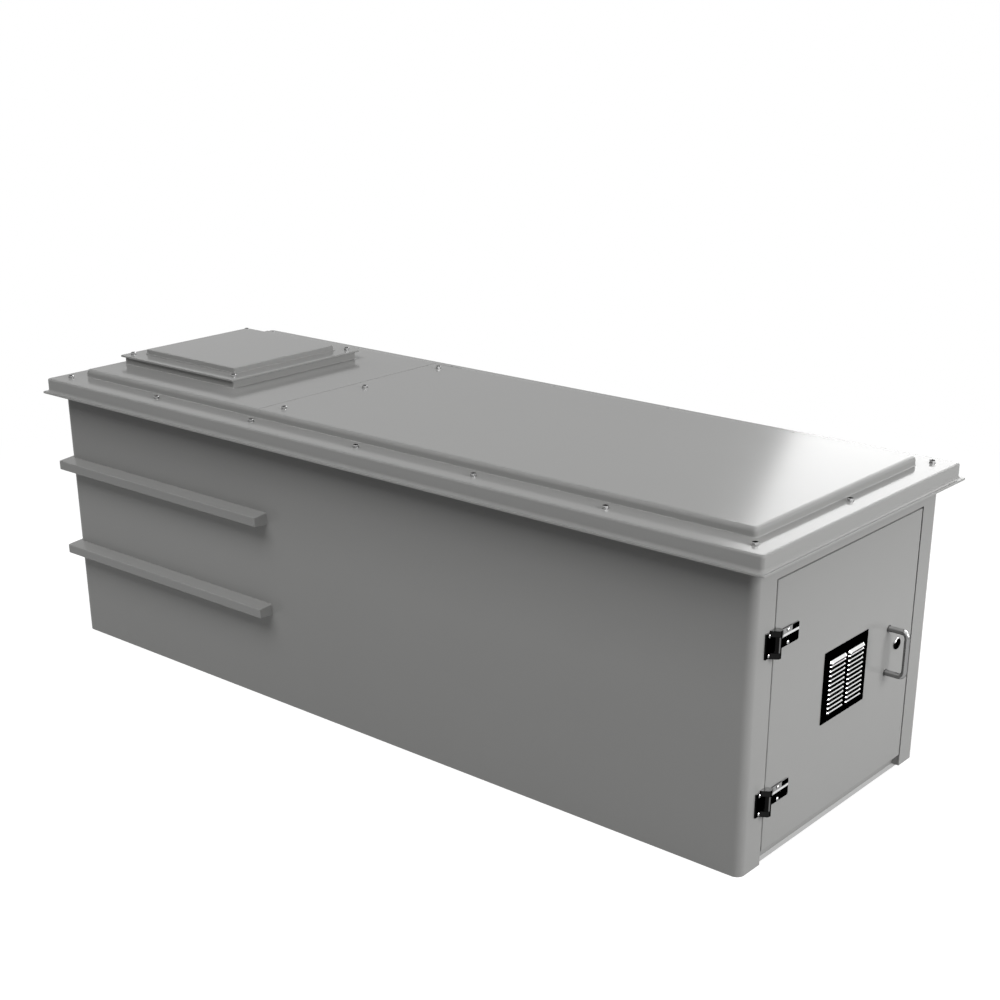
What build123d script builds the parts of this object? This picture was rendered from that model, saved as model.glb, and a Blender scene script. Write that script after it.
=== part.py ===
from build123d import *
import os

os.makedirs("parts", exist_ok=True)

# Low roadside cabinet: glass-fibre shell on an open base flange, bolted roof with a bolted hatch,
# and one side-hung door with a louvred vent, a bow handle and a quarter-turn lock.
# Millimetres, +X to the door end, near long side -Y, +Z up, origin on the ground at the footprint centre.

# Shell
body_length = 2316
body_width = 800
wall = 6
corner_r = 20
half_l = body_length / 2
half_w = body_width / 2
base_flange_w = 60
base_flange_t = 6
anchor_from_end = 258
anchor_from_side = 33
anchor_x = half_l - anchor_from_end
anchor_y = half_w - anchor_from_side
anchor_d = 14

# Roof lid
lid_bottom = 722
lid_skin = 5
rim_out = 32
lip_out = 10.5
rim_h = 42
rim_edge_r = 5.5
rim_corner_r = 9
lip_corner_r = 5
lip_flare_r = 8
panel_in_side = 84
panel_in_end = 71
panel_rise = 22
panel_edge_r = 10
panel_corner_r = 10.5
lip_edge_r = 1.5
small_r = 3
rim_l = body_length + 2 * rim_out
rim_w = body_width + 2 * rim_out
panel_l = rim_l - 2 * panel_in_end
panel_w = rim_w - 2 * panel_in_side
ledge_z = lid_bottom + rim_h
panel_z = ledge_z + panel_rise
roof_seal_t = 4
roof_flange_w = 45
roof_flange_t = 6
body_top = ledge_z - lid_skin - roof_seal_t

# Hollow ribs on both long walls
rib_out = 42
rib_t = 34
rib_fall = 4
rib_wall = 5
rib_edge_r = 3
rib_len = 834
rib_from_lid = [204.5, 458]
rib_levels = [lid_bottom - rib_drop for rib_drop in rib_from_lid]

# Inspection hatch
hatch_from_end = 308
hatch_x = -half_l + hatch_from_end
cover_size = 484
cover_t = 5
curb_in = 9
curb_wall = 5
curb_rise = 18
curb_flange_w = 42
hatch_seal_t = 3
hatch_bolt_in = 26
pad_size = 378
pad_rise = 15
pad_edge_r = 2.5
pad_step = 3
curb_size = cover_size - 2 * curb_in
curb_top = panel_z + curb_rise
hatch_hole = curb_size - 2 * curb_flange_w
cover_bottom = curb_top + hatch_seal_t

# Cross groove in the roof and the rail bolted beneath it
groove_from_hatch = 502
groove_x = hatch_x + groove_from_hatch
groove_w = 104
groove_len = panel_w - 2 * panel_edge_r
groove_depth = 0.5
rail_w = 50
rail_h = 25
rail_t = 3
rail_air = 13
rail_len = panel_w - 2 * lid_skin - 2 * rail_air
rail_bolt_in = 52
rail_bolt_y = panel_w / 2 - rail_bolt_in

# Fasteners of the roof and hatch
bolt_d = 8
bolt_hole_d = 9
bolt_head_af = 13
bolt_head_h = 5.5
washer_d = 15
washer_t = 1.6
nut_h = 6.5
bolt_past = 3
roof_bolt_from_end = 18
roof_bolt_from_side = 16
roof_bolt_x = half_l - roof_bolt_from_end
roof_bolt_y = half_w - roof_bolt_from_side
roof_bolt_count = 7

# Door and its recess
gap = 4
near_jamb_w = 82
far_jamb_w = 74
head_h = 46
recess_y0 = -half_w + near_jamb_w
recess_y1 = half_w - far_jamb_w
recess_top = lid_bottom - head_h
recess_depth = 20
stop_w = 24
sill_h = 58
door_t = 16
door_skin = 4
door_edge_w = 14
door_bottom = 30.5
door_y0 = recess_y0 + gap
door_y1 = recess_y1 - gap
door_top = recess_top - gap
door_w = door_y1 - door_y0
door_h = door_top - door_bottom
door_cy = (door_y0 + door_y1) / 2
door_cz = (door_top + door_bottom) / 2
door_r = 3
door_edge_r = 2.5
door_back = half_l - door_t
stop_front = half_l - recess_depth
stop_back = stop_front - wall
seal_w = 10
seal_in = 2
seal_air = 0.3
skin_back = half_l - door_skin

# Vent
vent_from_top = 327
vent_y = (recess_y0 + recess_y1) / 2
vent_z = recess_top - vent_from_top
vent_w = 194
vent_h = 177
vent_t = 1.5
louvre_len = 74
louvre_gap = 8
louvre_pitch = 11.4
louvre_rows = 12
louvre_h = 8.5
louvre_out = 7.5
louvre_bevel = 5
louvre_end_r = 8
louvre_skin = 1.2
louvre_drop = 3.5
louvre_mid_z = vent_z - louvre_drop
vent_open_w = 166
vent_open_h = 148
screen_t = 1
screen_hole = 11
screen_pitch = 15
screen_across = 9
screen_up = 8
frame_t = 3
frame_in = 22
stud_d = 4
stud_in = 8
stud_nut_af = 7
stud_nut_h = 3.2

# Bow handle
handle_in = 122.5
handle_from_top = 326
handle_y = recess_y1 - handle_in
handle_z = recess_top - handle_from_top
handle_span = 112
handle_out = 50
handle_d = 14
handle_bend = 14
foot_d = 18
foot_t = 2
handle_screw_d = 6
handle_head_d = 10
handle_head_h = 4
handle_washer_d = 18

# Quarter-turn lock
lock_beside = 46.5
lock_above = 4
lock_y = handle_y + lock_beside
lock_z = handle_z + lock_above
lock_head_d = 30
lock_head_t = 4.5
lock_edge_r = 3
lock_body_d = 20
lock_body_len = 24
lock_ring_af = 26
lock_ring_t = 5
spindle_d = 12
spindle_air = 0.05
spindle_step_d = 16
spindle_step_t = 2.5
drive_r = 4.6
drive_deep = 6
square = 7
cam_t = 3
cam_w = 18
cam_reach = 66
strike_t = 1.2
strike_w = 21
strike_h = 70
cam_air = 1
strike_back = stop_back - strike_t
cam_front = strike_back - cam_air
cam_back = cam_front - cam_t
cam_screw_d = 5
cam_head_d = 11
cam_head_t = 3
cam_screw_len = 12

# Hinges
hinge_from_top = [141, 515]
hinge_levels = [recess_top - hinge_drop for hinge_drop in hinge_from_top]
hinge_past = 2
hinge_y = recess_y0 - hinge_past
hinge_r = 10
hinge_lift = 0.4
hinge_x = half_l + hinge_r + hinge_lift
pin_d = 6
pin_air = 0.05
barrel_h = 64
mid_h = 36
knuckle_air = 0.5
leaf_t = 4
frame_leaf_h = 58
frame_leaf_w = 33.5
frame_leaf_end = hinge_y - frame_leaf_w
door_leaf_h = 42
door_leaf_w = 98
door_leaf_end = hinge_y + door_leaf_w
frame_web_in = 18
strap_web_len = 34
leaf_fit = 0.6
hinge_screw_d = 5
hinge_hole_d = 5.5
hinge_head_d = 9
hinge_head_h = 2.6
frame_screw_out = 22
frame_screw_y = hinge_y - frame_screw_out
frame_screw_z = 22.5
door_screw_in = 53
door_screw_y = hinge_y + door_screw_in
door_screw_z = 14.5
plate_t = 3
hinge_nut_af = 8
hinge_nut_h = 4

# Bolt centres of the roof ledge, the rail and the hatch
ledge_step = 2 * roof_bolt_x / (roof_bolt_count - 1)
ledge_points = [(-roof_bolt_x, 0), (roof_bolt_x, 0)]
for i in range(roof_bolt_count):
    for side in (-1, 1):
        ledge_points.append((-roof_bolt_x + i * ledge_step, side * roof_bolt_y))
rail_points = [(groove_x, y) for y in (-rail_bolt_y, 0, rail_bolt_y)]
hatch_reach = cover_size / 2 - hatch_bolt_in
hatch_points = [(hatch_x + i * hatch_reach, j * hatch_reach) for i in (-1, 1) for j in (-1, 1)]
anchor_points = [(i * anchor_x, j * anchor_y) for i in (-1, 1) for j in (-1, 1)]
vent_studs = [(vent_y + i * (vent_w / 2 - stud_in), vent_z + j * (vent_h / 2 - stud_in))
              for i in (-1, 1) for j in (-1, 1)]
frame_screws = [(frame_screw_y, z + j * frame_screw_z) for z in hinge_levels for j in (-1, 1)]
door_screws = [(door_screw_y, z + j * door_screw_z) for z in hinge_levels for j in (-1, 1)]
handle_points = [(handle_y, handle_z + j * handle_span / 2) for j in (-1, 1)]


def facing_x(x):
    """Plane at this x whose local x is world y and local y is world z, looking along +X."""
    return Plane(origin=(x, 0, 0), x_dir=(0, 1, 0), z_dir=(1, 0, 0))


def outline(plane, x, y, width, height, radius):
    """Rounded rectangle centred on a point of a plane."""
    with BuildSketch(plane) as made:
        with Locations((x, y)):
            RectangleRounded(width, height, radius)
    return made.sketch


def flat_edges(made, level, x, width, length):
    """Edges lying on a level inside a plan rectangle centred on the X axis."""
    found = ShapeList()
    for edge in made.edges():
        box = edge.bounding_box()
        if abs(box.min.Z - level) < 0.01 and abs(box.max.Z - level) < 0.01:
            middle = edge.center()
            if abs(middle.X - x) <= length / 2 + 0.1 and abs(middle.Y) <= width / 2 + 0.1:
                found.append(edge)
    return found


def save(name, made):
    """Label a finished subcomponent and write it to its own file."""
    made.part.label = name
    export_step(made.part, "parts/" + name + ".step")


def washers(points, bottom):
    """Flat round washers at plan points, resting on a level."""
    with BuildPart() as made:
        with BuildSketch(Plane.XY.offset(bottom)):
            with Locations(points):
                Circle(washer_d / 2)
                Circle(bolt_hole_d / 2, mode=Mode.SUBTRACT)
        extrude(amount=washer_t)
    return made


def hex_bolts(points, seat, length):
    """Hexagon-head bolts standing on a level, shanks pointing down."""
    with BuildPart() as made:
        with BuildSketch(Plane.XY.offset(seat)):
            with Locations(points):
                RegularPolygon(bolt_head_af / 2, 6, major_radius=False)
        extrude(amount=bolt_head_h)
        chamfer(made.faces().sort_by(Axis.Z)[-len(points):].edges(), 0.8)
        with BuildSketch(Plane.XY.offset(seat)):
            with Locations(points):
                Circle(bolt_d / 2)
        extrude(amount=-length)
    return made


def hex_nuts(points, top):
    """Hexagon nuts hanging under a level round the bolt shanks."""
    with BuildPart() as made:
        with BuildSketch(Plane.XY.offset(top)):
            with Locations(points):
                RegularPolygon(bolt_head_af / 2, 6, major_radius=False)
                Circle(bolt_d / 2, mode=Mode.SUBTRACT)
        extrude(amount=-nut_h)
    return made


# Body shell: walls, door recess, roof flange and base flange in one moulding
with BuildPart() as body_shell:
    add(extrude(outline(Plane.XY, 0, 0, body_length, body_width, corner_r), body_top))
    inner_h = body_top - roof_flange_t - base_flange_t
    inner = outline(Plane.XY.offset(base_flange_t), 0, 0, body_length - 2 * wall,
                    body_width - 2 * wall, corner_r - wall)
    add(extrude(inner, inner_h), mode=Mode.SUBTRACT)
    base_hole = outline(Plane.XY, 0, 0, body_length - 2 * base_flange_w,
                        body_width - 2 * base_flange_w, corner_r)
    add(extrude(base_hole, base_flange_t), mode=Mode.SUBTRACT)
    roof_hole = outline(Plane.XY.offset(body_top), 0, 0, body_length - 2 * roof_flange_w,
                        body_width - 2 * roof_flange_w, corner_r)
    add(extrude(roof_hole, -roof_flange_t), mode=Mode.SUBTRACT)
    recess_w = recess_y1 - recess_y0
    recess_cy = (recess_y0 + recess_y1) / 2
    with BuildSketch(facing_x(stop_back)):
        with Locations((recess_cy, (recess_top + wall) / 2)):
            Rectangle(recess_w + 2 * wall, recess_top + wall)
    extrude(amount=half_l - stop_back)
    with BuildSketch(facing_x(stop_front)):
        with Locations((recess_cy, recess_top / 2)):
            Rectangle(recess_w, recess_top)
    extrude(amount=recess_depth, mode=Mode.SUBTRACT)
    doorway_h = recess_top - stop_w - sill_h
    doorway = outline(facing_x(stop_back), recess_cy, sill_h + doorway_h / 2,
                      recess_w - 2 * stop_w, doorway_h, 10)
    add(extrude(doorway, wall), mode=Mode.SUBTRACT)
    with BuildSketch(Plane.XY):
        with Locations(anchor_points):
            Circle(anchor_d / 2)
    extrude(amount=base_flange_t, mode=Mode.SUBTRACT)
    with BuildSketch(Plane.XY.offset(body_top)):
        with Locations(ledge_points):
            Circle(bolt_hole_d / 2)
    extrude(amount=-roof_flange_t, mode=Mode.SUBTRACT)
    with BuildSketch(facing_x(half_l)):
        with Locations(frame_screws):
            Circle(hinge_hole_d / 2)
    extrude(amount=-wall, mode=Mode.SUBTRACT)
save("body_shell", body_shell)


def rib_bar(level, inset):
    """Drafted bar on the near wall, its back inside the shell's corner curve, or its hollow when inset."""
    front = half_w + rib_out - inset
    back = half_w - corner_r
    front_h = rib_t / 2 - rib_fall - inset
    back_h = front_h + (front - back) * rib_fall / rib_out
    with BuildPart() as made:
        with BuildSketch(facing_x(-half_l + inset)):
            with BuildLine():
                Polyline((-front, level - front_h), (-front, level + front_h), (-back, level + back_h),
                         (-back, level - back_h), close=True)
            make_face()
        extrude(amount=rib_len - 2 * inset)
    return made


# Side ribs: hollow bars open towards the wall they are bonded to and shaped to the closed end's corners
with BuildPart() as side_ribs:
    for level in rib_levels:
        with BuildPart(mode=Mode.PRIVATE) as bar:
            add(rib_bar(level, 0).part)
            fillet(bar.edges().filter_by(lambda edge: edge.center().Y < -half_w), rib_edge_r)
        add(bar.part)
        add(rib_bar(level, rib_wall).part, mode=Mode.SUBTRACT)
    add(extrude(outline(Plane.XY, 0, 0, body_length, body_width, corner_r), lid_bottom), mode=Mode.SUBTRACT)
    mirror(about=Plane.XZ)
save("side_ribs", side_ribs)

# Roof lid: flanged rim, bolting ledge, raised panel, cross groove and hatch curb in one moulding
with BuildPart() as raised_panel:
    add(extrude(outline(Plane.XY.offset(ledge_z), 0, 0, panel_l, panel_w, panel_corner_r), panel_rise))
    fillet(raised_panel.faces().sort_by(Axis.Z)[-1].edges(), panel_edge_r)
with BuildPart() as lip:
    add(extrude(outline(Plane.XY.offset(lid_bottom), 0, 0, rim_l + 2 * lip_out, rim_w + 2 * lip_out,
                        lip_corner_r), lid_skin))
    fillet(lip.faces().sort_by(Axis.Z)[-1].edges(), lip_edge_r)
with BuildPart() as roof_lid:
    add(extrude(outline(Plane.XY.offset(lid_bottom), 0, 0, rim_l, rim_w, rim_corner_r), rim_h))
    fillet(roof_lid.faces().sort_by(Axis.Z)[-1].edges(), rim_edge_r)
    add(raised_panel.part)
    add(lip.part)
    add(extrude(outline(Plane.XY.offset(panel_z - lid_skin), hatch_x, 0, curb_size, curb_size, small_r),
                lid_skin + curb_rise))
    fillet(flat_edges(roof_lid, lid_bottom + lid_skin, 0, rim_w, rim_l), lip_flare_r)
    fillet(flat_edges(roof_lid, ledge_z, 0, panel_w, panel_l), small_r)
    fillet(flat_edges(roof_lid, panel_z, hatch_x, curb_size, curb_size), small_r)
    inside = outline(Plane.XY.offset(lid_bottom), 0, 0, rim_l - 2 * lid_skin, rim_w - 2 * lid_skin,
                     rim_corner_r - lid_skin)
    add(extrude(inside, rim_h - lid_skin), mode=Mode.SUBTRACT)
    inside = outline(Plane.XY.offset(ledge_z - lid_skin), 0, 0, panel_l - 2 * lid_skin,
                     panel_w - 2 * lid_skin, panel_corner_r - lid_skin)
    add(extrude(inside, panel_rise), mode=Mode.SUBTRACT)
    inside = outline(Plane.XY.offset(panel_z - lid_skin), hatch_x, 0, curb_size - 2 * curb_wall,
                     curb_size - 2 * curb_wall, small_r)
    add(extrude(inside, curb_rise), mode=Mode.SUBTRACT)
    add(extrude(outline(Plane.XY.offset(curb_top), hatch_x, 0, hatch_hole, hatch_hole, small_r),
                -lid_skin), mode=Mode.SUBTRACT)
    with BuildSketch(Plane.XY.offset(panel_z - lid_skin)):
        with Locations((groove_x, 0)):
            Rectangle(groove_w + 2 * lid_skin, panel_w - 2 * lid_skin)
    extrude(amount=-groove_depth)
    with BuildSketch(Plane.XY.offset(panel_z)):
        with Locations((groove_x, 0)):
            Rectangle(groove_w, groove_len)
    extrude(amount=-groove_depth, mode=Mode.SUBTRACT)
    with BuildSketch(Plane.XY.offset(lid_bottom)):
        with Locations(ledge_points + rail_points + hatch_points):
            Circle(bolt_hole_d / 2)
    extrude(amount=curb_top - lid_bottom, mode=Mode.SUBTRACT)
save("roof_lid", roof_lid)

# Roof seal: flat rubber frame between the lid ledge and the shell's roof flange
with BuildPart() as roof_seal:
    add(extrude(outline(Plane.XY.offset(body_top), 0, 0, body_length, body_width, corner_r), roof_seal_t))
    add(extrude(outline(Plane.XY.offset(body_top), 0, 0, body_length - 2 * roof_flange_w,
                        body_width - 2 * roof_flange_w, corner_r), roof_seal_t), mode=Mode.SUBTRACT)
    with BuildSketch(Plane.XY.offset(body_top)):
        with Locations(ledge_points):
            Circle(bolt_hole_d / 2)
    extrude(amount=roof_seal_t, mode=Mode.SUBTRACT)
save("roof_seal", roof_seal)

# Cross rail: steel channel under the groove, flat side up, bolted through the roof skin
rail_top = panel_z - lid_skin - groove_depth
with BuildPart() as cross_rail:
    with BuildSketch(Plane(origin=(groove_x, -rail_len / 2, 0), x_dir=(1, 0, 0), z_dir=(0, -1, 0))):
        with Locations((0, rail_top - rail_h / 2)):
            Rectangle(rail_w, rail_h)
        with Locations((0, rail_top - rail_t - rail_h / 2)):
            Rectangle(rail_w - 2 * rail_t, rail_h, mode=Mode.SUBTRACT)
    extrude(amount=-rail_len)
    with BuildSketch(Plane.XY.offset(rail_top)):
        with Locations(rail_points):
            Circle(bolt_hole_d / 2)
    extrude(amount=-rail_t, mode=Mode.SUBTRACT)
save("cross_rail", cross_rail)

# Bolts, washers and nuts of the roof ledge and of the cross rail
roof_grip = washer_t + lid_skin + roof_seal_t + roof_flange_t
roof_bolt_len = roof_grip + nut_h + bolt_past
save("roof_washers", washers(ledge_points, ledge_z))
save("roof_bolts", hex_bolts(ledge_points, ledge_z + washer_t, roof_bolt_len))
save("roof_nuts", hex_nuts(ledge_points, body_top - roof_flange_t))
groove_z = panel_z - groove_depth
rail_bolt_len = washer_t + lid_skin + rail_t + nut_h + bolt_past
save("rail_washers", washers(rail_points, groove_z))
save("rail_bolts", hex_bolts(rail_points, groove_z + washer_t, rail_bolt_len))
save("rail_nuts", hex_nuts(rail_points, rail_top - rail_t))

# Hatch cover: thin bolting flange round a stepped, hollow pad
cover_top = cover_bottom + cover_t
with BuildPart() as pad:
    add(extrude(outline(Plane.XY.offset(cover_top), hatch_x, 0, pad_size, pad_size, small_r), pad_rise))
    fillet(pad.faces().sort_by(Axis.Z)[-1].edges(), pad_edge_r)
with BuildPart() as hatch_cover:
    add(extrude(outline(Plane.XY.offset(cover_bottom), hatch_x, 0, cover_size, cover_size, small_r),
                cover_t))
    fillet(hatch_cover.faces().sort_by(Axis.Z)[-1].edges(), lip_edge_r)
    step_size = pad_size + 2 * pad_step
    add(extrude(outline(Plane.XY.offset(cover_top), hatch_x, 0, step_size, step_size, small_r), pad_step))
    fillet(hatch_cover.faces().sort_by(Axis.Z)[-1].edges(), lip_edge_r)
    add(pad.part)
    hollow = pad_size - 2 * cover_t
    add(extrude(outline(Plane.XY.offset(cover_bottom), hatch_x, 0, hollow, hollow, small_r), pad_rise),
        mode=Mode.SUBTRACT)
    with BuildSketch(Plane.XY.offset(cover_bottom)):
        with Locations(hatch_points):
            Circle(bolt_hole_d / 2)
    extrude(amount=cover_t, mode=Mode.SUBTRACT)
save("hatch_cover", hatch_cover)

# Hatch seal and the four hatch bolts with their washers and nuts
with BuildPart() as hatch_seal:
    add(extrude(outline(Plane.XY.offset(curb_top), hatch_x, 0, curb_size, curb_size, small_r), hatch_seal_t))
    add(extrude(outline(Plane.XY.offset(curb_top), hatch_x, 0, hatch_hole, hatch_hole, small_r),
                hatch_seal_t), mode=Mode.SUBTRACT)
    with BuildSketch(Plane.XY.offset(curb_top)):
        with Locations(hatch_points):
            Circle(bolt_hole_d / 2)
    extrude(amount=hatch_seal_t, mode=Mode.SUBTRACT)
save("hatch_seal", hatch_seal)
hatch_bolt_len = washer_t + cover_t + hatch_seal_t + lid_skin + nut_h + bolt_past
save("hatch_washers", washers(hatch_points, cover_top))
save("hatch_bolts", hex_bolts(hatch_points, cover_top + washer_t, hatch_bolt_len))
save("hatch_nuts", hex_nuts(hatch_points, curb_top - lid_skin))

# Door panel: moulded tray with a thin front skin and a solid edge return all round
with BuildPart() as door_panel:
    add(extrude(outline(facing_x(door_back), door_cy, door_cz, door_w, door_h, door_r), door_t))
    fillet(door_panel.faces().sort_by(Axis.X)[-1].edges(), door_edge_r)
    add(extrude(outline(facing_x(door_back), door_cy, door_cz, door_w - 2 * door_edge_w,
                        door_h - 2 * door_edge_w, door_edge_w / 2), door_t - door_skin), mode=Mode.SUBTRACT)
    with BuildSketch(facing_x(half_l)):
        with Locations((vent_y, vent_z)):
            Rectangle(vent_open_w, vent_open_h)
        with Locations(vent_studs):
            Circle(stud_d / 2)
        with Locations(handle_points):
            Circle(handle_screw_d / 2)
        with Locations((lock_y, lock_z)):
            Circle(lock_body_d / 2)
        with Locations(door_screws):
            Circle(hinge_screw_d / 2)
    extrude(amount=-door_skin, mode=Mode.SUBTRACT)
save("door_panel", door_panel)

# Door seal: rubber frame bonded to the back of the door's edge return
with BuildPart() as door_seal:
    seal_t = door_back - stop_front - seal_air
    seal_size_y = door_w - 2 * seal_in
    seal_size_z = door_h - 2 * seal_in
    add(extrude(outline(facing_x(door_back), door_cy, door_cz, seal_size_y, seal_size_z, seal_w / 2),
                -seal_t))
    add(extrude(outline(facing_x(door_back), door_cy, door_cz, seal_size_y - 2 * seal_w,
                        seal_size_z - 2 * seal_w, seal_w / 2), -seal_t), mode=Mode.SUBTRACT)
save("door_seal", door_seal)



def hood(reach, inset):
    """Upper half of a bevelled block with round ends: a louvre's outside, or its hollow when inset."""
    with BuildPart() as made:
        add(extrude(outline(facing_x(0), 0, 0, louvre_len - 2 * inset, 2 * (louvre_h - inset),
                            louvre_end_r - inset), reach - inset))
        chamfer(made.faces().sort_by(Axis.X)[-1].edges(), louvre_bevel - inset / 2)
        split(bisect_by=Plane.XY)
    return made


# Vent plate: pressed stainless sheet with two columns of louvres and four welded studs
louvre_points = []
for row in range(louvre_rows):
    level = louvre_mid_z + (row - (louvre_rows - 1) / 2) * louvre_pitch - louvre_h / 2
    for side in (-1, 1):
        louvre_points.append((vent_y + side * (louvre_len + louvre_gap) / 2, level))
with BuildPart() as vent_plate:
    add(extrude(outline(facing_x(half_l), vent_y, vent_z, vent_w, vent_h, small_r), vent_t))
    outside = hood(louvre_out, 0).part
    hollow = hood(louvre_out + vent_t, louvre_skin).part
    for y, z in louvre_points:
        add(outside.moved(Location((half_l + vent_t, y, z))))
        add(hollow.moved(Location((half_l, y, z))), mode=Mode.SUBTRACT)
    stud_len = door_skin + screen_t + frame_t + stud_nut_h + 1
    with BuildSketch(facing_x(half_l)):
        with Locations(vent_studs):
            Circle(stud_d / 2)
    extrude(amount=-stud_len)
save("vent_plate", vent_plate)

# Insect screen behind the vent opening
with BuildPart() as vent_screen:
    with BuildSketch(facing_x(skin_back)):
        with Locations((vent_y, vent_z)):
            Rectangle(vent_w, vent_h)
            with GridLocations(screen_pitch, screen_pitch, screen_across, screen_up):
                Rectangle(screen_hole, screen_hole, mode=Mode.SUBTRACT)
        with Locations(vent_studs):
            Circle(stud_d / 2, mode=Mode.SUBTRACT)
    extrude(amount=-screen_t)
save("vent_screen", vent_screen)

# Clamp frame and the stud nuts that hold the screen and vent plate
screen_back = skin_back - screen_t
clamp_back = screen_back - frame_t
with BuildPart() as vent_frame:
    with BuildSketch(facing_x(screen_back)):
        with Locations((vent_y, vent_z)):
            Rectangle(vent_w, vent_h)
            Rectangle(vent_w - 2 * frame_in, vent_h - 2 * frame_in, mode=Mode.SUBTRACT)
        with Locations(vent_studs):
            Circle(stud_d / 2, mode=Mode.SUBTRACT)
    extrude(amount=-frame_t)
save("vent_frame", vent_frame)
with BuildPart() as vent_nuts:
    with BuildSketch(facing_x(clamp_back)):
        with Locations(vent_studs):
            RegularPolygon(stud_nut_af / 2, 6, major_radius=False)
            Circle(stud_d / 2, mode=Mode.SUBTRACT)
    extrude(amount=-stud_nut_h)
save("vent_nuts", vent_nuts)

# Bow handle: bent round bar on two collars, tapped from behind
handle_x = half_l + handle_out
handle_low = handle_z - handle_span / 2
handle_high = handle_z + handle_span / 2
handle_plane = Plane(origin=(0, handle_y, 0), x_dir=(1, 0, 0), z_dir=(0, -1, 0))
with BuildPart() as handle:
    with BuildLine(handle_plane) as bow:
        FilletPolyline((half_l, handle_low), (handle_x, handle_low), (handle_x, handle_high),
                       (half_l, handle_high), radius=handle_bend)
    with BuildSketch(Plane(origin=bow.line @ 0, z_dir=bow.line % 0)):
        Circle(handle_d / 2)
    sweep()
    with BuildSketch(facing_x(half_l)):
        with Locations(handle_points):
            Circle(foot_d / 2)
    extrude(amount=foot_t)
    with BuildSketch(facing_x(half_l)):
        with Locations(handle_points):
            Circle(handle_screw_d / 2)
    extrude(amount=2 * handle_screw_d, mode=Mode.SUBTRACT)
save("handle", handle)

# Handle washers and screws inside the door
handle_seat = skin_back - washer_t
with BuildPart() as handle_washers:
    with BuildSketch(facing_x(skin_back)):
        with Locations(handle_points):
            Circle(handle_washer_d / 2)
            Circle(handle_screw_d / 2, mode=Mode.SUBTRACT)
    extrude(amount=-washer_t)
save("handle_washers", handle_washers)
with BuildPart() as handle_screws:
    with BuildSketch(facing_x(handle_seat)):
        with Locations(handle_points):
            Circle(handle_head_d / 2)
    extrude(amount=-handle_head_h)
    chamfer(handle_screws.faces().sort_by(Axis.X)[:2].edges(), 1)
    with BuildSketch(facing_x(handle_seat)):
        with Locations(handle_points):
            Circle(handle_screw_d / 2)
    extrude(amount=washer_t + door_skin + 2 * handle_screw_d - 1)
save("handle_screws", handle_screws)

# Lock housing: turned head and body, clamped to the door skin by a ring nut
lock_face = half_l + lock_head_t
lock_end = half_l - lock_body_len
with BuildPart() as lock_housing:
    with Locations(Plane(origin=(half_l, lock_y, lock_z), x_dir=(0, 1, 0), z_dir=(1, 0, 0))):
        Cylinder(lock_head_d / 2, lock_head_t, align=(Align.CENTER, Align.CENTER, Align.MIN))
        Cylinder(lock_body_d / 2, lock_body_len, align=(Align.CENTER, Align.CENTER, Align.MAX))
    fillet(lock_housing.faces().sort_by(Axis.X)[-1].edges(), lock_edge_r)
    with BuildSketch(facing_x(lock_face)):
        with Locations((lock_y, lock_z)):
            Circle(spindle_step_d / 2 + spindle_air)
    extrude(amount=-spindle_step_t - spindle_air, mode=Mode.SUBTRACT)
    with BuildSketch(facing_x(lock_face)):
        with Locations((lock_y, lock_z)):
            Circle(spindle_d / 2 + spindle_air)
    extrude(amount=lock_end - lock_face, mode=Mode.SUBTRACT)
save("lock_housing", lock_housing)
with BuildPart() as lock_ring:
    with BuildSketch(facing_x(skin_back)):
        with Locations((lock_y, lock_z)):
            RegularPolygon(lock_ring_af / 2, 6, major_radius=False)
            Circle(lock_body_d / 2, mode=Mode.SUBTRACT)
    extrude(amount=-lock_ring_t)
save("lock_ring", lock_ring)

# Lock spindle: stepped shaft with a three-sided key recess in front and a square behind for the cam
with BuildPart() as lock_spindle:
    with BuildSketch(facing_x(lock_face)):
        with Locations((lock_y, lock_z)):
            Circle(spindle_step_d / 2)
    extrude(amount=-spindle_step_t)
    with BuildSketch(facing_x(lock_face)):
        with Locations((lock_y, lock_z)):
            Circle(spindle_d / 2)
    extrude(amount=cam_front - lock_face)
    with BuildSketch(facing_x(cam_front)):
        with Locations((lock_y, lock_z)):
            Rectangle(square, square)
    extrude(amount=-cam_t)
    with BuildSketch(facing_x(lock_face)):
        with Locations((lock_y, lock_z)):
            RegularPolygon(drive_r, 3, rotation=90)
    extrude(amount=-drive_deep, mode=Mode.SUBTRACT)
    with BuildSketch(facing_x(cam_back)):
        with Locations((lock_y, lock_z)):
            Circle(cam_screw_d / 2)
    extrude(amount=cam_screw_len, mode=Mode.SUBTRACT)
save("lock_spindle", lock_spindle)

# Cam and its screw, hanging down in the unlocked position
with BuildPart() as lock_cam:
    with BuildSketch(facing_x(cam_front)):
        with Locations((lock_y, lock_z - cam_reach / 2)):
            Rectangle(cam_w, cam_reach)
        with Locations((lock_y, lock_z)):
            Circle(cam_w / 2)
            Rectangle(square, square, mode=Mode.SUBTRACT)
    extrude(amount=-cam_t)
    fillet(lock_cam.edges().filter_by(Axis.X).sort_by(Axis.Z)[:2], small_r)
save("lock_cam", lock_cam)
with BuildPart() as cam_screw:
    with BuildSketch(facing_x(cam_back)):
        with Locations((lock_y, lock_z)):
            Circle(cam_head_d / 2)
    extrude(amount=-cam_head_t)
    with BuildSketch(facing_x(cam_back)):
        with Locations((lock_y, lock_z)):
            Circle(cam_screw_d / 2)
    extrude(amount=cam_screw_len)
save("cam_screw", cam_screw)

# Strike plate bonded behind the far door stop, where the cam turns in
with BuildPart() as strike_plate:
    add(extrude(outline(facing_x(stop_back), recess_y1 - stop_w / 2, lock_z, strike_w, strike_h, small_r),
                -strike_t))
save("strike_plate", strike_plate)

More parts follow.
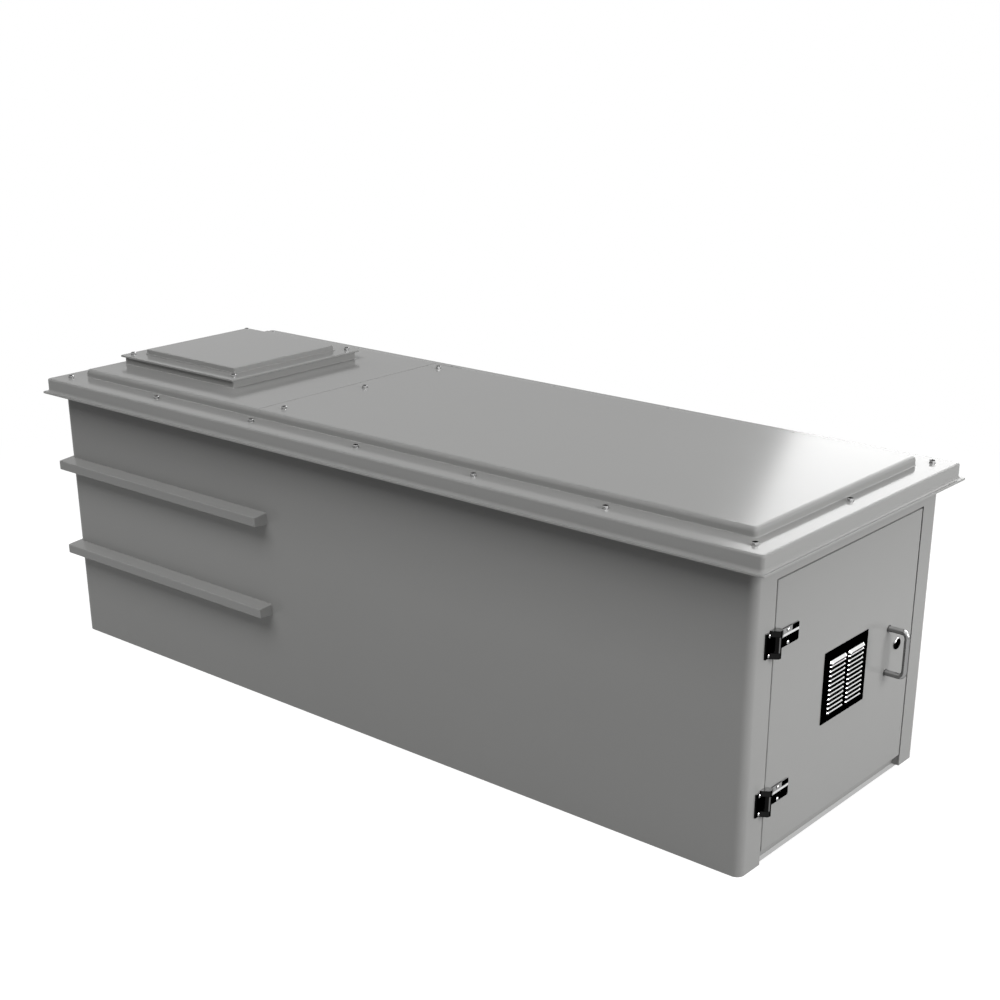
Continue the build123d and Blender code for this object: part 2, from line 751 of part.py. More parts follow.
# Fixed hinge leaves: plate on the near jamb, two end knuckles and the web joining them
knuckle_h = (barrel_h - mid_h) / 2 - knuckle_air
with BuildPart() as frame_leaves:
    for level in hinge_levels:
        with BuildSketch(facing_x(half_l)):
            with Locations(((frame_leaf_end + hinge_y) / 2, level)):
                Rectangle(hinge_y - frame_leaf_end, frame_leaf_h)
        extrude(amount=leaf_t)
        with BuildSketch(Plane.XY.offset(level - mid_h / 2 - knuckle_air)):
            with Locations((hinge_x, hinge_y)):
                Circle(hinge_r + leaf_fit)
        extrude(amount=mid_h + 2 * knuckle_air, mode=Mode.SUBTRACT)
        for bottom in (level - barrel_h / 2, level + mid_h / 2 + knuckle_air):
            with BuildSketch(Plane.XY.offset(bottom)):
                with BuildLine():
                    Polyline((half_l, hinge_y), (hinge_x, hinge_y),
                             (hinge_x + 0.6 * hinge_r, hinge_y - 0.8 * hinge_r),
                             (half_l + leaf_t, frame_leaf_end + frame_web_in),
                             (half_l, frame_leaf_end + frame_web_in), close=True)
                make_face()
                with Locations((hinge_x, hinge_y)):
                    Circle(hinge_r)
            extrude(amount=knuckle_h)
        with BuildSketch(Plane.XY.offset(level - barrel_h / 2)):
            with Locations((hinge_x, hinge_y)):
                Circle(pin_d / 2)
        extrude(amount=barrel_h, mode=Mode.SUBTRACT)
    with BuildSketch(facing_x(half_l)):
        with Locations(frame_screws):
            Circle(hinge_screw_d / 2)
    extrude(amount=leaf_t, mode=Mode.SUBTRACT)
save("frame_leaves", frame_leaves)

# Swinging hinge leaves: strap on the door, middle knuckle and a hollow-curved web between
with BuildPart() as door_leaves:
    for level in hinge_levels:
        strap_start = door_y0 + small_r
        strap_len = door_leaf_end - strap_start
        add(extrude(outline(facing_x(half_l), strap_start + strap_len / 2, level, strap_len, door_leaf_h,
                            small_r), leaf_t))
        with BuildSketch(Plane.XY.offset(level - mid_h / 2)):
            with BuildLine():
                top = (hinge_x + 0.7 * hinge_r, hinge_y + 0.7 * hinge_r)
                foot = (half_l + leaf_t, strap_start + strap_web_len)
                Polyline(top, (hinge_x, hinge_y), (half_l, strap_start), (half_l, foot[1]), foot)
                ThreePointArc(foot, (half_l + leaf_t + 2.5, strap_start + 0.45 * strap_web_len), top)
            make_face()
            with Locations((hinge_x, hinge_y)):
                Circle(hinge_r)
        extrude(amount=mid_h)
        with BuildSketch(Plane.XY.offset(level - mid_h / 2)):
            with Locations((hinge_x, hinge_y)):
                Circle(pin_d / 2 + pin_air)
        extrude(amount=mid_h, mode=Mode.SUBTRACT)
    with BuildSketch(facing_x(half_l)):
        with Locations(door_screws):
            Circle(hinge_screw_d / 2)
    extrude(amount=leaf_t, mode=Mode.SUBTRACT)
save("door_leaves", door_leaves)

# Hinge pins, held in the fixed leaves
with BuildPart() as hinge_pins:
    for level in hinge_levels:
        with BuildSketch(Plane.XY.offset(level - barrel_h / 2)):
            with Locations((hinge_x, hinge_y)):
                Circle(pin_d / 2)
        extrude(amount=barrel_h)
save("hinge_pins", hinge_pins)


def pan_screws(points, grip):
    """Round-head screws through a hinge leaf, shanks ending one millimetre past the nuts."""
    with BuildPart() as made:
        with BuildSketch(facing_x(half_l + leaf_t)):
            with Locations(points):
                Circle(hinge_head_d / 2)
        extrude(amount=hinge_head_h)
        chamfer(made.faces().sort_by(Axis.X)[-len(points):].edges(), hinge_head_h / 2)
        with BuildSketch(facing_x(half_l + leaf_t)):
            with Locations(points):
                Circle(hinge_screw_d / 2)
        extrude(amount=-(leaf_t + grip + plate_t + hinge_nut_h + 1))
    return made


def backing(points, screws, width, height, face):
    """Backing plates behind the moulding, drilled for the hinge screws."""
    with BuildPart() as made:
        with BuildSketch(facing_x(face)):
            with Locations(points):
                Rectangle(width, height)
            with Locations(screws):
                Circle(hinge_screw_d / 2, mode=Mode.SUBTRACT)
        extrude(amount=-plate_t)
    return made


def small_nuts(points, face):
    """Hexagon nuts on the hinge screws."""
    with BuildPart() as made:
        with BuildSketch(facing_x(face)):
            with Locations(points):
                RegularPolygon(hinge_nut_af / 2, 6, major_radius=False)
                Circle(hinge_screw_d / 2, mode=Mode.SUBTRACT)
        extrude(amount=-hinge_nut_h)
    return made


# Hinge screws, backing plates and nuts, on the jamb and on the door
frame_plate_y = (recess_y0 - wall + frame_leaf_end) / 2
frame_plates = [(frame_plate_y, level) for level in hinge_levels]
door_plates = [(door_screw_y, level) for level in hinge_levels]
jamb_back = half_l - wall
save("frame_hinge_screws", pan_screws(frame_screws, wall))
save("door_hinge_screws", pan_screws(door_screws, door_skin))
save("frame_backing_plates", backing(frame_plates, frame_screws, 26, frame_leaf_h, jamb_back))
save("door_backing_plates", backing(door_plates, door_screws, 36, door_leaf_h, skin_back))
save("frame_hinge_nuts", small_nuts(frame_screws, jamb_back - plate_t))
save("door_hinge_nuts", small_nuts(door_screws, skin_back - plate_t))
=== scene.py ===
import math

import bpy
from mathutils import Matrix, Quaternion, Vector


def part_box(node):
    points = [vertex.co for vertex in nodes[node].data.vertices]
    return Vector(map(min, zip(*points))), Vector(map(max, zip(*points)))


# Roadside utility cabinet: glass-fibre shell, bolted roof and hatch, side-hung louvred door.
# Every piece is a CAD node, and gets its finish here in the order in which it is put together.
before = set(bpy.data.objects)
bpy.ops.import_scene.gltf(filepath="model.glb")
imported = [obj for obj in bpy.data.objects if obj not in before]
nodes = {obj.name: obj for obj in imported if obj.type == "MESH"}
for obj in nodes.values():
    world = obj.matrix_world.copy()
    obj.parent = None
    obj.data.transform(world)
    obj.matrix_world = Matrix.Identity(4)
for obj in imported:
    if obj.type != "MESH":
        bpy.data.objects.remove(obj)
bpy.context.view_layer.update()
scene = bpy.context.scene
scene.view_settings.view_transform = "Standard"


# Shell and side ribs: one box of glass-fibre laminate with four hollow ribs laminated to its long
# walls. It is laid up in a mould against sprayed grey gelcoat, so that the outside is smooth and
# the inside shows the rough back of the glass mat. It stands on a flange and is bolted down.
def add_node(tree, kind, **values):
    """One shader node, with its properties and its input values set by name."""
    node = tree.nodes.new(kind)
    for key, value in values.items():
        if hasattr(node, key):
            setattr(node, key, value)
        else:
            node.inputs[key.replace("_", " ")].default_value = value
    return node


def wire(tree, start, start_socket, end, end_socket):
    """A link between two named or numbered sockets."""
    tree.links.new(start.outputs[start_socket], end.inputs[end_socket])


def maths(tree, operation, first, second=0.0):
    """A Math node whose inputs are sockets or plain numbers; returns its output."""
    node = tree.nodes.new("ShaderNodeMath")
    node.operation = operation
    for index, value in enumerate((first, second)):
        if isinstance(value, (int, float)):
            node.inputs[index].default_value = value
        else:
            tree.links.new(value, node.inputs[index])
    return node.outputs[0]


def blend_colour(tree, factor, first, second):
    """A colour Mix node whose inputs are sockets or plain colours; returns its output."""
    node = tree.nodes.new("ShaderNodeMix")
    node.data_type = "RGBA"
    mix_factor, mix_first, mix_second, mix_result = 0, 6, 7, 2
    for index, value in ((mix_factor, factor), (mix_first, first), (mix_second, second)):
        if isinstance(value, tuple):
            node.inputs[index].default_value = (*value, 1.0)
        else:
            tree.links.new(value, node.inputs[index])
    return node.outputs[mix_result]


def scale_colour(tree, colour, factor):
    """A colour socket times a number socket; returns its output."""
    node = add_node(tree, "ShaderNodeVectorMath", operation="SCALE")
    tree.links.new(colour, node.inputs[0])
    tree.links.new(factor, node.inputs["Scale"])
    return node.outputs[0]


def split(tree, vector):
    """The three parts of a vector socket."""
    node = add_node(tree, "ShaderNodeSeparateXYZ")
    tree.links.new(vector, node.inputs[0])
    return node.outputs


def new_group(name, inputs, outputs):
    """An empty shader node group with named sockets: (name, kind, default)."""
    group = bpy.data.node_groups.new(name, "ShaderNodeTree")
    for label, kind, default in inputs:
        socket = group.interface.new_socket(label, in_out="INPUT", socket_type="NodeSocket" + kind)
        if default is not None:
            socket.default_value = default
    for label, kind in outputs:
        group.interface.new_socket(label, in_out="OUTPUT", socket_type="NodeSocket" + kind)
    start = group.nodes.new("NodeGroupInput")
    end = group.nodes.new("NodeGroupOutput")
    return group, start, end


def use_group(tree, group, place, **values):
    """A group placed in a material with its own values, reading the material's coordinates."""
    node = tree.nodes.new("ShaderNodeGroup")
    node.node_tree = group
    for key, value in values.items():
        node.inputs[key.replace("_", " ")].default_value = value
    wire(tree, place, "Object", node, "Vector")
    if "Normal" in node.inputs:
        wire(tree, place, "Normal", node, "Normal")
    return node


def new_material(name):
    """A material with an empty Principled shader; returns it, its tree, shader and coordinates."""
    material = bpy.data.materials.new(name)
    material.use_nodes = True
    tree = material.node_tree
    return material, tree, tree.nodes["Principled BSDF"], add_node(tree, "ShaderNodeTexCoord")


def dress(material, *names):
    """Gives a material to CAD nodes."""
    for name in names:
        mesh = nodes[name].data
        mesh.materials.clear()
        mesh.materials.append(material)


# Gelcoat: slow mottle in the colour, fine orange peel and a little print-through of the glass mat.
gelcoat, start, end = new_group(
    "gelcoat",
    [("Vector", "Vector", None), ("Colour", "Color", (0.33, 0.33, 0.32, 1)), ("Mottle", "Float", 0.03),
     ("Gloss", "Float", 0.2)],
    [("Colour", "Color"), ("Roughness", "Float"), ("Height", "Float")])
slow = add_node(gelcoat, "ShaderNodeTexNoise", Scale=3.0, Detail=3.0, Roughness=0.55)
peel = add_node(gelcoat, "ShaderNodeTexNoise", Scale=260.0, Detail=2.0, Roughness=0.5)
mat = add_node(gelcoat, "ShaderNodeTexNoise", Scale=28.0, Detail=4.0, Roughness=0.6, Distortion=0.6)
for noise in (slow, peel, mat):
    wire(gelcoat, start, "Vector", noise, "Vector")
amount = maths(gelcoat, "SUBTRACT", slow.outputs[0], 0.5)
amount = maths(gelcoat, "MULTIPLY", amount, start.outputs["Mottle"])
amount = maths(gelcoat, "ADD", amount, 1.0)
gelcoat.links.new(scale_colour(gelcoat, start.outputs["Colour"], amount), end.inputs["Colour"])
rough = maths(gelcoat, "MULTIPLY", maths(gelcoat, "SUBTRACT", mat.outputs[0], 0.5), 0.06)
gelcoat.links.new(maths(gelcoat, "ADD", rough, start.outputs["Gloss"]), end.inputs["Roughness"])
height = maths(gelcoat, "ADD", maths(gelcoat, "MULTIPLY", mat.outputs[0], 0.6),
               maths(gelcoat, "MULTIPLY", peel.outputs[0], 0.25))
gelcoat.links.new(height, end.inputs["Height"])

# Laminate: chopped glass strands lying three ways under a thin flow coat.
laminate, start, end = new_group(
    "laminate",
    [("Vector", "Vector", None), ("Colour", "Color", (0.30, 0.30, 0.27, 1))],
    [("Colour", "Color"), ("Roughness", "Float"), ("Height", "Float")])
strands = []
for angle in (0.3, 1.3, 2.4):
    aim = add_node(laminate, "ShaderNodeMapping")
    aim.inputs["Rotation"].default_value = (angle, angle * 1.7, angle * 0.6)
    aim.inputs["Scale"].default_value = (18.0, 420.0, 420.0)
    wire(laminate, start, "Vector", aim, "Vector")
    line = add_node(laminate, "ShaderNodeTexNoise", Scale=1.0, Detail=1.0)
    wire(laminate, aim, 0, line, "Vector")
    strands.append(line.outputs[0])
fibre = maths(laminate, "MAXIMUM", maths(laminate, "MAXIMUM", strands[0], strands[1]), strands[2])
fibre = maths(laminate, "SUBTRACT", fibre, 0.5)
shade_by = maths(laminate, "ADD", maths(laminate, "MULTIPLY", fibre, 0.9), 0.86)
laminate.links.new(scale_colour(laminate, start.outputs["Colour"], shade_by), end.inputs["Colour"])
laminate.links.new(maths(laminate, "ADD", maths(laminate, "MULTIPLY", fibre, -0.5), 0.62),
                   end.inputs["Roughness"])
laminate.links.new(fibre, end.inputs["Height"])

# Under-lid shade: the walls are painted darker close under the lid, a painted shade where the lid's
# shade falls. It grows from its lower level to the lid, and is deepest on the long walls.
shade_bottom = 0.4
shade_top = 0.7
under_lid_shade, start, end = new_group(
    "under_lid_shade",
    [("Vector", "Vector", None), ("Normal", "Vector", None), ("Amount", "Float", 0.14),
     ("Long walls", "Float", 0.22)],
    [("Factor", "Float")])
climb = add_node(under_lid_shade, "ShaderNodeMapRange")
climb.inputs["From Min"].default_value = shade_bottom
climb.inputs["From Max"].default_value = shade_top
under_lid_shade.links.new(split(under_lid_shade, start.outputs["Vector"])[2], climb.inputs["Value"])
climb = maths(under_lid_shade, "POWER", climb.outputs["Result"], 1.6)
sideways = maths(under_lid_shade, "ABSOLUTE", split(under_lid_shade, start.outputs["Normal"])[1])
extra = maths(under_lid_shade, "MULTIPLY", sideways, start.outputs["Long walls"])
deep = maths(under_lid_shade, "ADD", start.outputs["Amount"], extra)
under_lid_shade.links.new(maths(under_lid_shade, "SUBTRACT", 1.0, maths(under_lid_shade, "MULTIPLY", climb, deep)), end.inputs["Factor"])

# Inside test: one where a point lies in a box, zero elsewhere.
inside_box, start, end = new_group(
    "inside_box",
    [("Vector", "Vector", None), ("Low", "Vector", (0.0, 0.0, 0.0)), ("High", "Vector", (1.0, 1.0, 1.0))],
    [("Mask", "Float")])
point, low, high = (split(inside_box, start.outputs[label]) for label in ("Vector", "Low", "High"))
mask = 1.0
for axis in range(3):
    above = maths(inside_box, "GREATER_THAN", point[axis], low[axis])
    below = maths(inside_box, "LESS_THAN", point[axis], high[axis])
    mask = maths(inside_box, "MULTIPLY", mask, maths(inside_box, "MULTIPLY", above, below))
inside_box.links.new(mask, end.inputs["Mask"])


def hollow_of(node, low_margins, high_margins):
    """The box of a moulding's hollow: its own box, moved in by these margins at both corners."""
    low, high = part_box(node)
    return low + Vector(low_margins), high - Vector(high_margins)


def moulding(name, colour, hollow, lid_shade=0.0):
    """Gelcoat material that turns to laminate in the moulding's hollow, with painted shade under the lid."""
    material, tree, shader, place = new_material(name)
    outer = use_group(tree, gelcoat, place, Colour=(*colour, 1.0), Mottle=0.03, Gloss=0.12)
    inner = use_group(tree, laminate, place)
    mask = use_group(tree, inside_box, place, Low=hollow[0], High=hollow[1]).outputs["Mask"]
    # Painted shade: the gelcoat colour is darkened close under the lid.
    shade_factor = use_group(tree, under_lid_shade, place, Amount=0.14 * lid_shade, Long_walls=0.22 * lid_shade)
    shaded_colour = scale_colour(tree, outer.outputs["Colour"], shade_factor.outputs["Factor"])
    tree.links.new(blend_colour(tree, mask, shaded_colour, inner.outputs["Colour"]), shader.inputs["Base Color"])
    inverse = maths(tree, "SUBTRACT", 1.0, mask)
    rough = maths(tree, "ADD", maths(tree, "MULTIPLY", inverse, outer.outputs["Roughness"]),
                  maths(tree, "MULTIPLY", mask, inner.outputs["Roughness"]))
    tree.links.new(rough, shader.inputs["Roughness"])
    strand_height = maths(tree, "MULTIPLY", inner.outputs["Height"], 6.0)
    height = maths(tree, "ADD", maths(tree, "MULTIPLY", inverse, outer.outputs["Height"]),
                   maths(tree, "MULTIPLY", mask, strand_height))
    bump = add_node(tree, "ShaderNodeBump", Strength=0.25, Distance=0.0002)
    tree.links.new(height, bump.inputs["Height"])
    wire(tree, bump, 0, shader, "Normal")
    shader.inputs["Specular IOR Level"].default_value = 0.06
    return material


shell_grey = (0.33, 0.33, 0.325)
wall_depth = 0.0055
stop_depth = 0.023
shell_hollow = hollow_of("body_shell", (wall_depth, wall_depth, 0.0), (stop_depth, wall_depth, 0.0005))
# The shell and ribs get painted shade close under the lid.
dress(moulding("shell_gelcoat", shell_grey, shell_hollow, lid_shade=1.0), "body_shell", "side_ribs")

# Roof lid: a separate glass-fibre moulding with a flared lip, an upright rim, a ledge for its
# bolts and a raised panel. It has the same gelcoat, a shade darker, and rough laminate below.
lid_grey = (0.315, 0.315, 0.31)
rim_depth = 0.014
curb_to_ledge = 0.0445
lid_hollow = hollow_of("roof_lid", (rim_depth, rim_depth, -0.001), (rim_depth, rim_depth, curb_to_ledge))
dress(moulding("roof_gelcoat", lid_grey, lid_hollow), "roof_lid")

# Roof bolts, nuts and washers: stainless M8 hexagon bolts through the lid's ledge, the seal and
# the shell's flange, cold-headed and left bright. Their level tops are painted dark and their sides
# light, and the washers' faces a little darker than their edges: a painted reflection, as they look
# in the photograph.
# Metal tones: faces that turn up take one colour and the rest another, a painted reflection.
metal_with_painted_reflection, start, end = new_group(
    "metal_with_painted_reflection",
    [("Vector", "Vector", None), ("Normal", "Vector", None), ("Bright", "Color", (0.75, 0.75, 0.76, 1)),
     ("Dark", "Color", (0.2, 0.2, 0.2, 1)), ("Polish", "Float", 0.12), ("Low", "Float", 0.3),
     ("High", "Float", 0.8)],
    [("Colour", "Color"), ("Roughness", "Float"), ("Height", "Float")])
aim = add_node(metal_with_painted_reflection, "ShaderNodeMapping")
aim.inputs["Scale"].default_value = (900.0, 900.0, 60.0)
wire(metal_with_painted_reflection, start, "Vector", aim, "Vector")
brush = add_node(metal_with_painted_reflection, "ShaderNodeTexNoise", Scale=1.0, Detail=2.0)
wire(metal_with_painted_reflection, aim, 0, brush, "Vector")
marks = add_node(metal_with_painted_reflection, "ShaderNodeTexNoise", Scale=90.0, Detail=5.0, Roughness=0.7)
wire(metal_with_painted_reflection, start, "Vector", marks, "Vector")
slope = add_node(metal_with_painted_reflection, "ShaderNodeMapRange", interpolation_type="SMOOTHSTEP")
wire(metal_with_painted_reflection, start, "Low", slope, "From Min")
wire(metal_with_painted_reflection, start, "High", slope, "From Max")
metal_with_painted_reflection.links.new(split(metal_with_painted_reflection, start.outputs["Normal"])[2], slope.inputs["Value"])
# Painted reflection: the colour follows how far the face turns up.
tone = blend_colour(metal_with_painted_reflection, slope.outputs["Result"], start.outputs["Dark"], start.outputs["Bright"])
worn = maths(metal_with_painted_reflection, "ADD", maths(metal_with_painted_reflection, "MULTIPLY", marks.outputs[0], 0.16), 0.92)
metal_with_painted_reflection.links.new(scale_colour(metal_with_painted_reflection, tone, worn), end.inputs["Colour"])
rough = maths(metal_with_painted_reflection, "MULTIPLY", maths(metal_with_painted_reflection, "SUBTRACT", marks.outputs[0], 0.5), 0.12)
metal_with_painted_reflection.links.new(maths(metal_with_painted_reflection, "ADD", rough, start.outputs["Polish"]), end.inputs["Roughness"])
metal_with_painted_reflection.links.new(maths(metal_with_painted_reflection, "MULTIPLY", brush.outputs[0], 0.2), end.inputs["Height"])


def grey(level):
    """A neutral colour."""
    return (level, level, level)


def metal(name, bright, dark, polish, low, high, painted_highlights=()):
    """Brushed metal with a painted reflection: slopes facing the sky take the bright colour, from low to
    high, the rest the dark.

    Each painted highlight is a tone laid over it inside a box: (lowest corner, highest corner, tone).
    """
    material, tree, shader, place = new_material(name)
    look = use_group(tree, metal_with_painted_reflection, place, Bright=(*bright, 1.0), Dark=(*dark, 1.0), Polish=polish,
                     Low=low, High=high)
    colour = look.outputs["Colour"]
    for corner, far_corner, highlight_grey in painted_highlights:
        test = use_group(tree, inside_box, place, Low=corner, High=far_corner)
        colour = blend_colour(tree, test.outputs["Mask"], colour, grey(highlight_grey))
    tree.links.new(colour, shader.inputs["Base Color"])
    wire(tree, look, "Roughness", shader, "Roughness")
    bump = add_node(tree, "ShaderNodeBump", Strength=0.2, Distance=0.0001)
    wire(tree, look, "Height", bump, "Height")
    wire(tree, bump, 0, shader, "Normal")
    shader.inputs["Metallic"].default_value = 1.0
    shader.inputs["Specular Tint"].default_value = (*grey(0.1), 1.0)
    return material


bolt_steel = metal("bolt_steel", grey(0.03), grey(0.5), polish=0.22, low=0.75, high=0.95)
washer_steel = metal("washer_steel", grey(0.3), grey(0.5), polish=0.3, low=0.5, high=0.9)
dress(bolt_steel, "roof_bolts", "roof_nuts")
dress(washer_steel, "roof_washers")

# Cross rail: a zinc-plated pressed steel channel that carries the roof skin under its groove.
# Three M8 bolts hold it, with nuts below.
# Its faces that turn up are painted lighter than the rest, a painted reflection.
zinc_plate = metal("zinc_plate", (0.5, 0.51, 0.52), (0.4, 0.41, 0.42), polish=0.38, low=0.0, high=0.6)
dress(zinc_plate, "cross_rail")
dress(bolt_steel, "rail_bolts", "rail_nuts")
dress(washer_steel, "rail_washers")

# Hatch cover: a small glass-fibre lid with a stepped pad, moulded like the roof and held on its
# curb by four M8 bolts, one in each corner.
pad_in = (0.056, 0.0575)
cover_hollow = hollow_of("hatch_cover", (*pad_in, -0.007), (*pad_in, 0.0045))
dress(moulding("hatch_gelcoat", lid_grey, cover_hollow), "hatch_cover")
dress(bolt_steel, "hatch_bolts", "hatch_nuts")
dress(washer_steel, "hatch_washers")

# Seals: matt black cellular rubber strip, cut square and clamped under the roof and the hatch
# cover, and bonded round the back of the door.
rubber, tree, shader, place = new_material("rubber")
cells = add_node(tree, "ShaderNodeTexVoronoi", Scale=700.0)
wire(tree, place, "Object", cells, "Vector")
tree.links.new(blend_colour(tree, cells.outputs["Distance"], grey(0.012), grey(0.03)),
               shader.inputs["Base Color"])
bump = add_node(tree, "ShaderNodeBump", Strength=0.3, Distance=0.0002)
wire(tree, cells, "Distance", bump, "Height")
wire(tree, bump, 0, shader, "Normal")
shader.inputs["Roughness"].default_value = 0.8
dress(rubber, "roof_seal", "hatch_seal", "door_seal")

# Door: a flush glass-fibre panel with a turned-in edge, moulded like the shell, with a smooth
# face and a rough back.
edge_depth = 0.0135
skin_depth = 0.0035
door_hollow = hollow_of("door_panel", (-0.001, edge_depth, edge_depth), (skin_depth, edge_depth, edge_depth))
# The door gets the same painted shade close under the lid.
dress(moulding("door_gelcoat", shell_grey, door_hollow, lid_shade=1.0), "door_panel")

# Hinges: two pairs of polished stainless leaves rolled round a pin, screwed to plated backing
# plates. The polish is painted near black, a painted dark reflection, with a painted highlight streak
# along each roll and each door strap. Painted streaks: from and to across the door, measured from
# the pin, from and to in height, measured from the strap's middle, then how far they reach out from
# the door, and their tone.
door_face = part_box("door_panel")[1].x
pin_low, pin_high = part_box("hinge_pins")
pin_y = (pin_low.y + pin_high.y) / 2
strap_half = 0.021
strap_low, strap_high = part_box("door_leaves")
painted_streaks = []
for level in (strap_low.z + strap_half, strap_high.z - strap_half):
    for left, right, bottom, top, reach, tone in (
            (-0.0055, -0.002, -0.018, 0.017, 0.022, 0.12),
            (0.007, 0.0095, -0.018, 0.017, 0.022, 0.16),
            (0.030, 0.070, 0.008, 0.0215, 0.006, 0.35),
            (0.020, 0.100, 0.002, 0.008, 0.006, 0.75)):
        painted_streaks.append(((door_face - 0.008, pin_y + left, level + bottom),
                        (door_face + reach, pin_y + right, level + top), tone))
dress(metal("frame_leaf_steel", grey(0.7), grey(0.012), polish=0.12, low=0.3, high=0.8), "frame_leaves")
dress(metal("door_leaf_steel", grey(0.7), grey(0.006), polish=0.12, low=0.3, high=0.8, painted_highlights=painted_streaks),
      "door_leaves")
# Screws and pins: faces that turn up are painted lighter than the rest, a painted reflection.
screw_steel = metal("screw_steel", grey(0.85), grey(0.35), polish=0.16, low=0.0, high=0.6)
dress(screw_steel, "hinge_pins", "frame_hinge_screws", "door_hinge_screws", "frame_hinge_nuts",
      "door_hinge_nuts")
dress(zinc_plate, "frame_backing_plates", "door_backing_plates")

# Vent: a polished stainless plate with two columns of pressed louvres, on four welded studs. It
# clamps an insect screen, with a plated frame and nuts behind. The polish is painted black, a
# painted dark reflection, with a painted highlight band on each louvre's upper slope.
plate_low, plate_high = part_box("vent_plate")
plate_middle = (plate_low + plate_high) / 2
plate_face = door_face + 0.0017
hood_reach = 0.012
louvre_rows = 12
louvre_pitch = 0.0114
louvre_height = 0.0085
louvre_middle = plate_middle.z - 0.0035
painted_band_half = 0.079
painted_bands = []
for row in range(louvre_rows):
    foot = louvre_middle + (row - (louvre_rows - 1) / 2) * louvre_pitch - louvre_height / 2
    rise, tone = (0.0025, 0.9) if row == louvre_rows - 1 else (0.0054, 0.8)
    painted_bands.append(((plate_face, plate_middle.y - painted_band_half, foot + rise),
                  (door_face + hood_reach, plate_middle.y + painted_band_half, foot + 0.0086), tone))
dress(metal("vent_steel", grey(0.9), grey(0.003), polish=0.12, low=0.75, high=0.95, painted_highlights=painted_bands),
      "vent_plate")
dress(screw_steel, "vent_screen", "vent_nuts")
dress(zinc_plate, "vent_frame")

# Bow handle: a bent and polished stainless bar with a foot at each end, held by a screw and a
# washer from inside the door.
# Its faces that turn up are painted light and the rest darker, a painted reflection.
dress(metal("handle_steel", grey(0.7), grey(0.24), polish=0.16, low=0.2, high=0.9), "handle")
dress(screw_steel, "handle_screws", "handle_washers")

# Lock: a chromed die-cast quarter-turn lock, its face painted dark and its upper edge painted
# bright, a painted reflection. Its ring nut and cam are zinc-plated, and the cam turns behind a
# stainless strike plate.
dress(metal("lock_chrome", grey(0.9), grey(0.006), polish=0.1, low=0.15, high=0.5),
      "lock_housing", "lock_spindle")
dress(zinc_plate, "lock_ring", "lock_cam", "cam_screw")
dress(screw_steel, "strike_plate")


# Floor: pale studio floor, white to the camera far out and with a soft shadow near the cabinet.
# It bounces less light than it shows, so that the long side stays as dark as in the photograph,
# and the part that the shell covers has painted shade, dim as an open door shows it.
def glowing(tree, colour, glow):
    """A matt surface that also shines by itself: a Diffuse and an Emission shader, added."""
    shade = add_node(tree, "ShaderNodeBsdfDiffuse", Color=(*grey(colour), 1.0))
    light = add_node(tree, "ShaderNodeEmission", Color=(*grey(1.0), 1.0))
    if isinstance(glow, float):
        light.inputs["Strength"].default_value = glow
    else:
        tree.links.new(glow, light.inputs["Strength"])
    both = add_node(tree, "ShaderNodeAddShader")
    wire(tree, shade, 0, both, 0)
    wire(tree, light, 0, both, 1)
    return both


def seen_rays(tree):
    """One for rays that show a surface, straight, in a reflection or through glass; else zero."""
    rays = add_node(tree, "ShaderNodeLightPath")
    seen = maths(tree, "MAXIMUM", rays.outputs["Is Camera Ray"], rays.outputs["Is Glossy Ray"])
    return maths(tree, "MAXIMUM", seen, rays.outputs["Is Transmission Ray"])


def finish_with(tree, kind, factor, hidden, shown):
    """Ends a tree in a mix of two shaders."""
    pick = add_node(tree, "ShaderNodeMixShader")
    tree.links.new(factor, pick.inputs[0])
    wire(tree, hidden, 0, pick, 1)
    wire(tree, shown, 0, pick, 2)
    wire(tree, pick, 0, add_node(tree, kind), "Surface")


floor_half = 60.0
covered_half = (1.15, 0.39)
corners = [(-floor_half, -floor_half, 0), (floor_half, -floor_half, 0), (floor_half, floor_half, 0),
           (-floor_half, floor_half, 0)]
floor_mesh = bpy.data.meshes.new("floor")
floor_mesh.from_pydata(corners, [], [(0, 1, 2, 3)])
floor = bpy.data.objects.new("floor", floor_mesh)
floor.location.z = -0.0005
scene.collection.objects.link(floor)
floor_material = bpy.data.materials.new("floor")
floor_material.use_nodes = True
tree = floor_material.node_tree
tree.nodes.clear()
place = add_node(tree, "ShaderNodeTexCoord")
reach = add_node(tree, "ShaderNodeVectorMath", operation="LENGTH")
wire(tree, place, "Object", reach, 0)
near = add_node(tree, "ShaderNodeMapRange", interpolation_type="SMOOTHSTEP")
for label, value in (("From Min", 1.5), ("From Max", 3.2), ("To Min", 1.0), ("To Max", 0.0)):
    near.inputs[label].default_value = value
wire(tree, reach, "Value", near, "Value")
across = split(tree, place.outputs["Object"])
within = [maths(tree, "LESS_THAN", maths(tree, "ABSOLUTE", place_part), half)
          for place_part, half in zip(across, covered_half)]
# Painted shade: the floor's glow is dimmed where the shell covers it.
painted_shade_under_shell = maths(tree, "MULTIPLY", *within)
glow_with_painted_shade = maths(tree, "SUBTRACT", 0.74, maths(tree, "MULTIPLY", painted_shade_under_shell, 0.56))
white = add_node(tree, "ShaderNodeEmission", Color=(*grey(1.0), 1.0), Strength=1.0)
fade = add_node(tree, "ShaderNodeMixShader")
wire(tree, near, "Result", fade, 0)
wire(tree, white, 0, fade, 1)
wire(tree, glowing(tree, 0.5, glow_with_painted_shade), 0, fade, 2)
finish_with(tree, "ShaderNodeOutputMaterial", seen_rays(tree), glowing(tree, 0.25, 0.2), fade)
floor_mesh.materials.append(floor_material)

